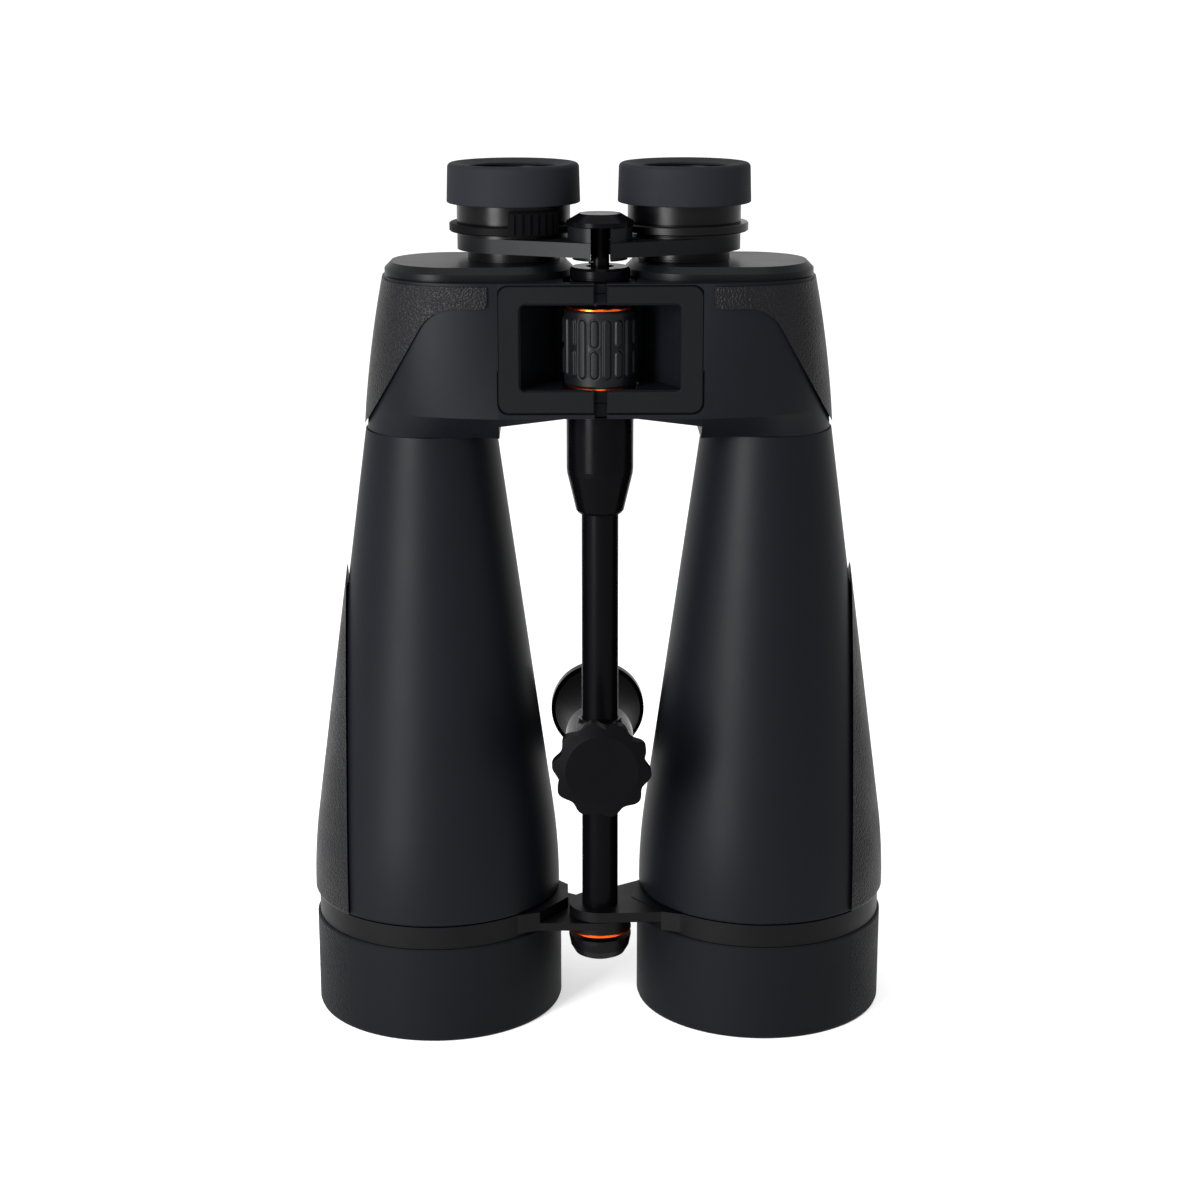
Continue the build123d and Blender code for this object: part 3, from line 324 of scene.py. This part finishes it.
def hood_rubber():
    """Rubber-coated hood: smooth and matt, with pebble grain outside the pad's flat cut."""
    material, tree, place = empty_material("rubber_coated_hood_matt_and_pebbled")
    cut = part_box("left_tube_pad")[0].x
    parts = add_node(tree, "ShaderNodeSeparateXYZ", {"Vector": place})
    outside = add_node(tree, "ShaderNodeMath", {0: parts.outputs["X"]}, operation="ABSOLUTE")
    mask = add_node(
        tree,
        "ShaderNodeMapRange",
        {"Value": outside.outputs["Value"], "From Min": cut, "From Max": cut + 0.3 * MM},
    )
    fine = add_node(
        tree,
        "ShaderNodeTexNoise",
        {"Vector": place, "Scale": 0.6 / sizes().coat_grain, "Detail": 3.0},
    )
    soft = add_node(tree, "ShaderNodeMath", {0: fine.outputs["Fac"], 1: 0.06}, operation="MULTIPLY")
    lumps = pebble_height(tree, place, sizes().pebble_pitch)
    height = add_node(
        tree,
        "ShaderNodeMix",
        {"Factor": mask.outputs["Result"], "A": soft.outputs["Value"], "B": lumps},
        data_type="FLOAT",
    )
    bump = add_node(
        tree,
        "ShaderNodeBump",
        {"Height": height.outputs["Result"], "Strength": 1.0, "Distance": 220 * MICRON},
    )
    output(tree, surface(
        tree, place, colours().hood[:], 0.55, 0.06, bump.outputs["Normal"], shade=1.1
    ))
    return material


def cup_rubber():
    """Soft nitrile rubber, moulded and dusted: the dullest and palest of the blacks."""
    material, tree, place = empty_material("soft_nitrile_rubber_moulded")
    grain = fine_grain(tree, place, 0.4 * MM, 30 * MICRON)
    output(tree, surface(
        tree, place, colours().cup[:], 0.7, 0.08, grain, patch=15 * MM, shade=1.1
    ))
    return material


def wheel_rubber():
    """Nitrile rubber moulded with ribs: satin on top where fingers polish it."""
    material, tree, place = empty_material("ribbed_nitrile_rubber_moulded")
    grain = fine_grain(tree, place, MOULD_GRAIN, 10 * MICRON)
    output(tree, surface(
        tree, place, colours().cover[:], 0.4, 0.1, grain, patch=6 * MM, shade=1.2
    ))
    return material


def anodised(name, roughness, specular, patch):
    """Black anodised aluminium: tool rings under a hard dark film, as glossy as it was finished."""
    material, tree, place = empty_material(name)
    rings = turned_marks(tree, place, sizes().turning_pitch, 8 * MICRON)
    output(tree, surface(tree, place, colours().anodised[:], roughness, specular, rings, patch=patch))
    return material


def barrel_anodising():
    """Turned aluminium with black anodising: the satin black of the eyepiece barrels."""
    return anodised("turned_aluminium_black_anodised", 0.3, 0.1, 10 * MM)


def band_anodising():
    """Die-cast aluminium with black anodising: duller, for the clamp bands and their arms."""
    return anodised("black_anodised_diecast_band", 0.42, 0.09, 20 * MM)


def bright_anodising():
    """Turned and polished aluminium with black anodising: dark with narrow highlights."""
    return anodised("bright_black_anodised_turned", 0.24, 0.03, 10 * MM)


def drawn_rod():
    """Drawn aluminium bar, black anodised: faint lines along its length, satin gloss."""
    material, tree, place = empty_material("drawn_aluminium_black_anodised")
    grain = fine_grain(tree, place, 0.25 * MM, 8 * MICRON, (1, 1, 0.02))
    output(tree, surface(tree, place, colours().anodised[:], 0.3, 0.03, grain, patch=20 * MM))
    return material


def knob_plastic():
    """Glass-filled nylon, moulded: a dry black with a fine grain."""
    material, tree, place = empty_material("glass_filled_nylon_moulded")
    grain = fine_grain(tree, place, MOULD_GRAIN, 20 * MICRON)
    output(tree, surface(tree, place, colours().plastic[:], 0.5, 0.03, grain, patch=10 * MM))
    return material


def satin_plastic():
    """ABS, moulded and fingered smooth: satin black with clear highlights on its ribs."""
    material, tree, place = empty_material("moulded_ABS_satin")
    grain = fine_grain(tree, place, MOULD_GRAIN, 10 * MICRON)
    output(tree, surface(
        tree, place, colours().cover[:], 0.34, 0.2, grain, patch=10 * MM, worn=0.03
    ))
    return material


def flat_black():
    """Flat black anodising inside the optics, which gives almost no light back."""
    material, tree, place = empty_material("flat_black_anodised_interior")
    grain = fine_grain(tree, place, MOULD_GRAIN, 30 * MICRON)
    output(tree, surface(tree, place, linear("#08080a"), 0.8, 0.1, grain))
    return material


def orange_anodised():
    """Orange anodised aluminium: bright metallic trim with soft tool rings."""
    material, tree, place = empty_material("orange_anodised_aluminium")
    rings = turned_marks(tree, place, 0.2 * MM, 4 * MICRON)
    output(tree, surface(
        tree, place, colours().orange[:], 0.28, 0.5, rings, patch=4 * MM, shade=1.1, worn=0.04, Metallic=1.0
    ))
    return material


def bright_steel():
    """Plain machined steel with fine random scratches."""
    material, tree, place = empty_material("machined_steel")
    grain = fine_grain(tree, place, 0.2 * MM, 6 * MICRON, (1, 1, 0.1))
    output(tree, surface(
        tree, place, linear("#8d8f93"), 0.3, 0.5, grain, patch=4 * MM, Metallic=1.0
    ))
    return material


def coated_glass():
    """Polished optical glass with an antireflection coat: dark and clear, with the coat's green reflex as a
    painted reflection in the base colour, strongest where the glass is seen edge-on.
    """
    material, tree, place = empty_material("coated_optical_glass_polished")
    dust = add_node(tree, "ShaderNodeTexNoise", {"Vector": place, "Scale": 900.0, "Detail": 2.0})
    rough = add_node(
        tree,
        "ShaderNodeMapRange",
        {"Value": dust.outputs["Fac"], "From Min": 0.6, "From Max": 0.8, "To Min": 0.02, "To Max": 0.06},
    )
    # Painted reflection: the base colour goes from near black where the glass faces the view to the coat's
    # green where it is seen edge-on.
    edge = add_node(tree, "ShaderNodeLayerWeight", {"Blend": 0.35})
    painted_reflex_tint = add_node(
        tree,
        "ShaderNodeMix",
        {
            "Factor": edge.outputs["Facing"],
            DARK_SOCKET: linear("#06120c"),
            LIGHT_SOCKET: colours().painted_lens_reflex[:],
        },
        data_type="RGBA",
    )
    shader = add_node(
        tree,
        "ShaderNodeBsdfPrincipled",
        {"Base Color": painted_reflex_tint.outputs[COLOUR_RESULT], "Roughness": rough.outputs["Result"], "IOR": 1.52,
         "Coat Weight": 0.6, "Coat Roughness": 0.02},
    )
    output(tree, shader)
    return material


FINISHES = {
    "soft_touch": soft_touch_coat,
    "cover_coat": satin_coat,
    "plate_coat": plate_coat,
    "pebble_rubber": pebbled_rubber,
    "hood_rubber": hood_rubber,
    "cup_rubber": cup_rubber,
    "wheel_rubber": wheel_rubber,
    "cup_plastic": satin_plastic,
    "knob_plastic": knob_plastic,
    "barrel_metal": barrel_anodising,
    "arm_metal": satin_coat,
    "band_metal": band_anodising,
    "rod_metal": drawn_rod,
    "polished_black": bright_anodising,
    "inner_metal": flat_black,
    "steel": bright_steel,
    "orange_ring": orange_anodised,
    "lens_glass": coated_glass,
    "prism_glass": coated_glass,
}
made_materials = {}


def finish(slot):
    """The material of one of the record's slots, made once."""
    builder = FINISHES[slot]
    if builder not in made_materials:
        made_materials[builder] = builder()
    return made_materials[builder]


# ---- mesh building ----


def rounded(corners, radii, steps=5):
    """A closed outline with each corner replaced by an arc of its own radius."""
    outline = []
    count = len(corners)
    for index, (corner, radius) in enumerate(zip(corners, radii)):
        here = Vector(corner)
        if radius == 0:
            outline.append(here)
            continue
        before = (Vector(corners[index - 1]) - here).normalized()
        after = (Vector(corners[(index + 1) % count]) - here).normalized()
        half = before.angle(after) / 2
        reach = radius / math.tan(half)
        centre = here + (before + after).normalized() * radius / math.sin(half)
        first = here + before * reach - centre
        last = here + after * reach - centre
        for step in range(steps + 1):
            share = step / steps
            way = (first * (1 - share) + last * share).normalized()
            outline.append(centre + way * radius)
    return outline


def new_piece(name, mesh, slot, body, replaces=(), smooth_angle=32):
    """Put a finished mesh in the scene as a piece that rides on a body."""
    mesh.shade_smooth()
    mesh.set_sharp_from_angle(angle=math.radians(smooth_angle))
    piece = bpy.data.objects.new(name, mesh)
    bpy.context.scene.collection.objects.link(piece)
    mesh.materials.append(finish(slot))
    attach(piece, body)
    if replaces:
        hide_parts(*replaces)
    return piece


def turned_mesh(name, outlines, centre):
    """A closed mesh about the vertical through centre.

    Each outline is a closed loop of (radius, z) points, and they stand evenly round the circle.
    """
    shape = bmesh.new()
    loops = []
    for side, outline in enumerate(outlines):
        angle = math.tau * side / len(outlines)
        loop = []
        for radius, z in outline:
            x = centre[0] + math.cos(angle) * radius
            y = centre[1] + math.sin(angle) * radius
            loop.append(shape.verts.new((x, y, z)))
        loops.append(loop)
    for side, here in enumerate(loops):
        there = loops[(side + 1) % len(loops)]
        for index in range(len(here)):
            following = (index + 1) % len(here)
            shape.faces.new((here[index], there[index], there[following], here[following]))
    bmesh.ops.recalc_face_normals(shape, faces=shape.faces)
    mesh = bpy.data.meshes.new(name)
    shape.to_mesh(mesh)
    shape.free()
    return mesh


def lathe_mesh(name, outline, centre, sides=128):
    """A closed mesh of revolution, with the same outline all the way round."""
    return turned_mesh(name, [outline] * sides, centre)


def smoothstep(low, high, value):
    share = min(1.0, max(0.0, (value - low) / (high - low)))
    return share * share * (3 - 2 * share)


# ---- operators ----


class BINOCULARS_OT_finish_cad(bpy.types.Operator):
    """Give every CAD node the finish of its material slot"""

    bl_idname = "binoculars.finish_cad"
    bl_label = "Finish the CAD nodes"

    def execute(self, context):
        for entry in frame["record"]["subparts"]:
            piece = frame["nodes"][entry["node"]]
            material = finish(entry["material_slot"])
            piece.data.materials.clear()
            piece.data.materials.append(material)
        return {"FINISHED"}


class BINOCULARS_OT_eyecups(bpy.types.Operator):
    """Make the two rubber eyecups with their rolled rims"""

    bl_idname = "binoculars.eyecups"
    bl_label = "Eyecups"

    def execute(self, context):
        for side in ("left", "right"):
            node = f"{side}_eyecup"
            low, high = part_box(node)
            outer = (high.x - low.x) / 2
            shoulder = outer - 0.45 * MM
            crest = outer - 2.6 * MM
            mouth = outer - 8.65 * MM
            sleeve = outer - 2.13 * MM
            under = high.z - 2.27 * MM
            dish = high.z - 1.4 * MM
            rim = sizes().cup_rim
            outline = rounded(
                [
                    (sleeve, low.z),
                    (outer, low.z),
                    (shoulder, high.z),
                    (crest, high.z),
                    (mouth, dish),
                    (mouth, under),
                    (sleeve, under),
                ],
                [0.0, 0.5 * MM, rim, 0.6 * MM, 0.3 * MM, 0.3 * MM, 0.0],
            )
            mesh = lathe_mesh(node + "_rolled", outline, node_middle(node))
            new_piece(node + "_rolled", mesh, "cup_rubber", f"{side}_cup", (node,))
        return {"FINISHED"}


class BINOCULARS_OT_wheel_tyre(bpy.types.Operator):
    """Make the focus wheel's rubber tyre with rounded ribs, every second one split"""

    bl_idname = "binoculars.wheel_tyre"
    bl_label = "Focus wheel tyre"

    def rib_height(self, around, along, split):
        """Height of a rib at a place: a pill, or two shorter pills end to end."""
        half = sizes().rib_width / 2
        length = sizes().rib_length
        if split:
            apart = 0.25 * MM
            shorter = 0.35 * MM
            along = abs(along) - length / 4 - apart
            reach = length / 4 - shorter - half
        else:
            reach = length / 2 - half
        slope = 0.55 * MM
        groove_depth = 0.16 * MM
        groove_middle = 0.22 * MM
        groove_reach = 0.28 * MM
        beyond = max(0.0, abs(along) - reach)
        edge = math.hypot(around, beyond) - half
        ridge = 1 - smoothstep(-slope, 0.0, edge)
        groove = 1 - smoothstep(0.0, groove_reach, abs(edge - groove_middle))
        return sizes().rib_rise * ridge - groove_depth * groove

    def execute(self, context):
        low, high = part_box("focus_wheel_tyre")
        centre = node_middle("focus_wheel_tyre")
        middle = centre.z + sizes().rib_lift
        count = sizes().rib_count
        below_cad = 0.05 * MM
        base = (high.x - low.x) / 2 - sizes().rib_rise - below_cad
        inner = 11.25 * MM
        end_fall = 0.35 * MM
        end_height = 0.6 * MM
        columns = count * 20
        rows = 110
        outlines = []
        for column in range(columns):
            angle = math.tau * column / columns
            rib = round(angle / math.tau * count)
            off = angle - rib * math.tau / count
            outline = [(inner, low.z)]
            for row in range(rows + 1):
                z = low.z + (high.z - low.z) * row / rows
                end = min(z - low.z, high.z - z)
                lift = self.rib_height(off * base, z - middle, rib % 2 == 1)
                fall = end_fall * (1 - smoothstep(0, end_height, end))
                outline.append((base + lift - fall, z))
            outline.append((inner, high.z))
            outlines.append(outline)
        mesh = turned_mesh("focus_wheel_ribbed_tyre", outlines, centre)
        new_piece(
            "focus_wheel_ribbed_tyre", mesh, "wheel_rubber", "focus_wheel", ("focus_wheel_tyre",), 60
        )
        return {"FINISHED"}


class BINOCULARS_OT_glare_rings(bpy.types.Operator):
    """Make the glare-stopping grooves inside the two lens hoods"""

    bl_idname = "binoculars.glare_rings"
    bl_label = "Glare rings"

    def execute(self, context):
        for side in ("left", "right"):
            node = f"{side}_hood"
            low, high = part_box(node)
            wall = (high.x - low.x) / 2 - 2.42 * MM
            root = wall - 0.15 * MM
            crest = wall - 0.55 * MM
            start = low.z + 2.0 * MM
            stop = low.z + 23.5 * MM
            pitch = sizes().baffle_pitch
            outline = [(wall, stop), (wall, start)]
            z = start
            while z + pitch <= stop:
                outline.append((root, z))
                outline.append((crest, z + pitch * 0.8))
                outline.append((root, z + pitch * 0.95))
                z += pitch
            outline.append((root, stop))
            mesh = lathe_mesh(f"{side}_glare_rings", outline, node_middle(node))
            new_piece(f"{side}_glare_rings", mesh, "inner_metal", f"{side}_half")
        return {"FINISHED"}


class BINOCULARS_OT_tripod_thread(bpy.types.Operator):
    """Make the thread ridges inside the tripod socket, as rings at the thread's pitch"""

    bl_idname = "binoculars.tripod_thread"
    bl_label = "Tripod thread"

    def execute(self, context):
        socket = next(m for m in frame["record"]["mounts"] if m["name"] == "tripod_thread")
        wall = socket["dims"]["r_mm"] * MM - 0.02 * MM
        crest = wall - 0.5 * MM
        back = wall + 0.01 * MM
        margin = 0.3 * MM
        depth = socket["dims"]["length_mm"] * MM - margin
        pitch = sizes().thread_pitch
        outline = [(wall, -depth)]
        start = -depth + margin
        while start + pitch < -margin:
            outline.append((wall, start))
            outline.append((crest, start + pitch * 0.45))
            outline.append((crest, start + pitch * 0.55))
            start += pitch
        outline.append((wall, start))
        outline.append((back, start))
        outline.append((back, -depth))
        mesh = lathe_mesh("tripod_thread_ridges", outline, (0, 0, 0), 64)
        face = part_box("adapter_block")[1].y
        mesh.transform(Matrix.Rotation(math.radians(-90), 4, "X"))
        mesh.transform(Matrix.Translation((socket["pos_m"][0], face, socket["pos_m"][2])))
        new_piece("tripod_thread_ridges", mesh, "steel", "adapter")
        return {"FINISHED"}


class BINOCULARS_OT_stage(bpy.types.Operator):
    """Make the floor, the lights, the surroundings and the camera"""

    bl_idname = "binoculars.stage"
    bl_label = "Stage"

    def light(self, name, place, target, size, power):
        """One rectangular softbox aimed at a point."""
        lamp = bpy.data.lights.new(name, "AREA")
        lamp.shape = "RECTANGLE"
        lamp.size, lamp.size_y = size
        lamp.energy = power
        box = bpy.data.objects.new(name, lamp)
        box.location = place
        box.rotation_euler = (Vector(target) - Vector(place)).to_track_quat("-Z", "Y").to_euler()
        bpy.context.scene.collection.objects.link(box)

    def floor_finish(self):
        """Matt white acrylic lit from below, which keeps the shadows on it faint."""
        material, tree, place = empty_material("backlit_matt_white_acrylic")
        grain = fine_grain(tree, place, 1.0 * MM, 10 * MICRON)
        glow = {"Emission Color": WHITE, "Emission Strength": 0.5}
        output(tree, surface(
            tree, place, colours().floor[:], 0.9, 0.1, grain, patch=600 * MM, shade=1.005, **glow
        ))
        return material

    def floor(self, scene):
        """A flat floor that reaches past the horizon of every view."""
        mesh = bpy.data.meshes.new("studio_floor")
        reach = 30.0
        corners = [(-reach, -reach, 0), (reach, -reach, 0), (reach, reach, 0), (-reach, reach, 0)]
        mesh.from_pydata(corners, [], [(0, 1, 2, 3)])
        mesh.materials.append(self.floor_finish())
        floor = bpy.data.objects.new("studio_floor", mesh)
        scene.collection.objects.link(floor)

    def surroundings(self, scene):
        """Even white light from all round, a little brighter than paper."""
        world = bpy.data.worlds.new("studio_surroundings")
        world.use_nodes = True
        background = world.node_tree.nodes["Background"]
        background.inputs["Color"].default_value = WHITE
        background.inputs["Strength"].default_value = 1.05
        scene.world = world

    def camera(self, scene):
        """A long lens that looks down a little, turned a degree about the hinge axle."""
        camera_data = bpy.data.cameras.new("camera")
        camera_data.lens = 71.4
        camera_data.sensor_width = 36.0
        camera_data.clip_end = 100.0
        camera = bpy.data.objects.new("camera", camera_data)
        axle = node_middle("hinge_axle")
        turn = math.radians(-1.0)
        look_down = math.radians(14.93)
        distance = 0.8658
        height = 0.3989
        camera.location = (
            axle.x + distance * math.sin(turn), axle.y - distance * math.cos(turn), height
        )
        camera.rotation_euler = (math.radians(90) - look_down, 0, turn)
        scene.collection.objects.link(camera)
        scene.camera = camera

    def execute(self, context):
        scene = context.scene
        scene.view_settings.view_transform = "Standard"
        scene.view_settings.look = "None"
        self.floor(scene)
        self.surroundings(scene)
        self.light("softbox_left", (-0.78, -0.93, 0.55), (0.0, 0.0, 0.55), (0.4, 1.1), 42)
        self.light("softbox_top", (0.0, -0.2, 1.6), (0.0, 0.0, 0.16), (1.2, 1.2), 8)
        self.camera(scene)
        return {"FINISHED"}


class BINOCULARS_PT_panel(bpy.types.Panel):
    """Lists the steps that finish the binoculars"""

    bl_idname = "BINOCULARS_PT_panel"
    bl_label = "Astronomy Binoculars"
    bl_space_type = "VIEW_3D"
    bl_region_type = "UI"
    bl_category = "Binoculars"

    def draw(self, context):
        for step in STEPS:
            self.layout.operator(step.bl_idname)
        for group in (context.scene.binocular_sizes, context.scene.binocular_colours):
            for key in group.bl_rna.properties.keys():
                if key not in ("rna_type", "name"):
                    self.layout.prop(group, key)


STEPS = (
    BINOCULARS_OT_stage,
    BINOCULARS_OT_finish_cad,
    BINOCULARS_OT_eyecups,
    BINOCULARS_OT_wheel_tyre,
    BINOCULARS_OT_glare_rings,
    BINOCULARS_OT_tripod_thread,
)
CLASSES = (BinocularSizes, BinocularColours, *STEPS, BINOCULARS_PT_panel)


def register():
    for cls in CLASSES:
        bpy.utils.register_class(cls)
    bpy.types.Scene.binocular_sizes = bpy.props.PointerProperty(type=BinocularSizes)
    bpy.types.Scene.binocular_colours = bpy.props.PointerProperty(type=BinocularColours)


def unregister():
    del bpy.types.Scene.binocular_colours
    del bpy.types.Scene.binocular_sizes
    for cls in reversed(CLASSES):
        bpy.utils.unregister_class(cls)


def main():
    register()
    bpy.ops.binoculars.stage()
    bpy.ops.binoculars.finish_cad()
    bpy.ops.binoculars.eyecups()
    bpy.ops.binoculars.wheel_tyre()
    bpy.ops.binoculars.glare_rings()
    bpy.ops.binoculars.tripod_thread()


if __name__ == "__main__":
    main()
